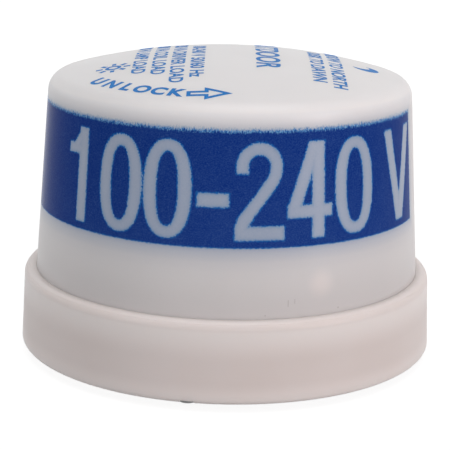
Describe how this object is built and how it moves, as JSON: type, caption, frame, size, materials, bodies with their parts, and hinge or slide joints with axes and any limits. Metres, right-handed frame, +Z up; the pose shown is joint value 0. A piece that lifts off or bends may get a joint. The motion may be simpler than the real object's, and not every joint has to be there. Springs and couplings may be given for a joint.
{
  "type": "photocell switch",
  "caption": "Plug-in photocell switch with a domed translucent cover nested in a ringed base, a sealing gasket and curved locking blades below.",
  "frame": {"origin": "centre of the gasket's sealing face, where the switch seats on its socket", "axes": "+Z up along the housing's axis, out of the crown; -Y is the front, the side that shows the printed rating; the blades point along -Z"},
  "size_m": [0.0826, 0.0826, 0.0766],
  "materials": {
    "cover": "translucent white moulded, satin, with a blue printed band",
    "base": "white moulded, satin",
    "gasket": "closed-cell foam",
    "brass_blade": "stamped, bright",
    "board": "green solder mask",
    "screw": "zinc plated",
    "relay": "sealed plastic can",
    "varistor": "dipped epoxy coat",
    "film_capacitor": "moulded box",
    "filter_capacitor": "dark printed sleeve on a can",
    "delay_capacitor": "dark sleeve on a can",
    "sensor": "clear moulded lens",
    "diode": "moulded, with a grey ring",
    "zener": "glass bead with a dark ring",
    "power_resistor": "flameproof coat with colour rings",
    "bias_resistor": "lacquer with colour rings",
    "transistor": "moulded",
    "chip": "moulded",
    "solder": "bright solder"
  },
  "bodies": {
    "root": {"cover": "cover", "base": "base", "gasket": "gasket", "blade_neutral": "brass_blade", "blade_line": "brass_blade", "blade_load": "brass_blade", "circuit_board": "board", "board_screws": "screw", "relay": "relay", "surge_varistor": "varistor", "film_capacitor": "film_capacitor", "filter_capacitor": "filter_capacitor", "delay_capacitor": "delay_capacitor", "photo_sensor": "sensor", "rectifier_diodes": "diode", "zener_diode": "zener", "power_resistor": "power_resistor", "bias_resistors": "bias_resistor", "driver_transistor": "transistor", "control_chip": "chip", "solder_joints": "solder"}
  },
  "joints": []
}
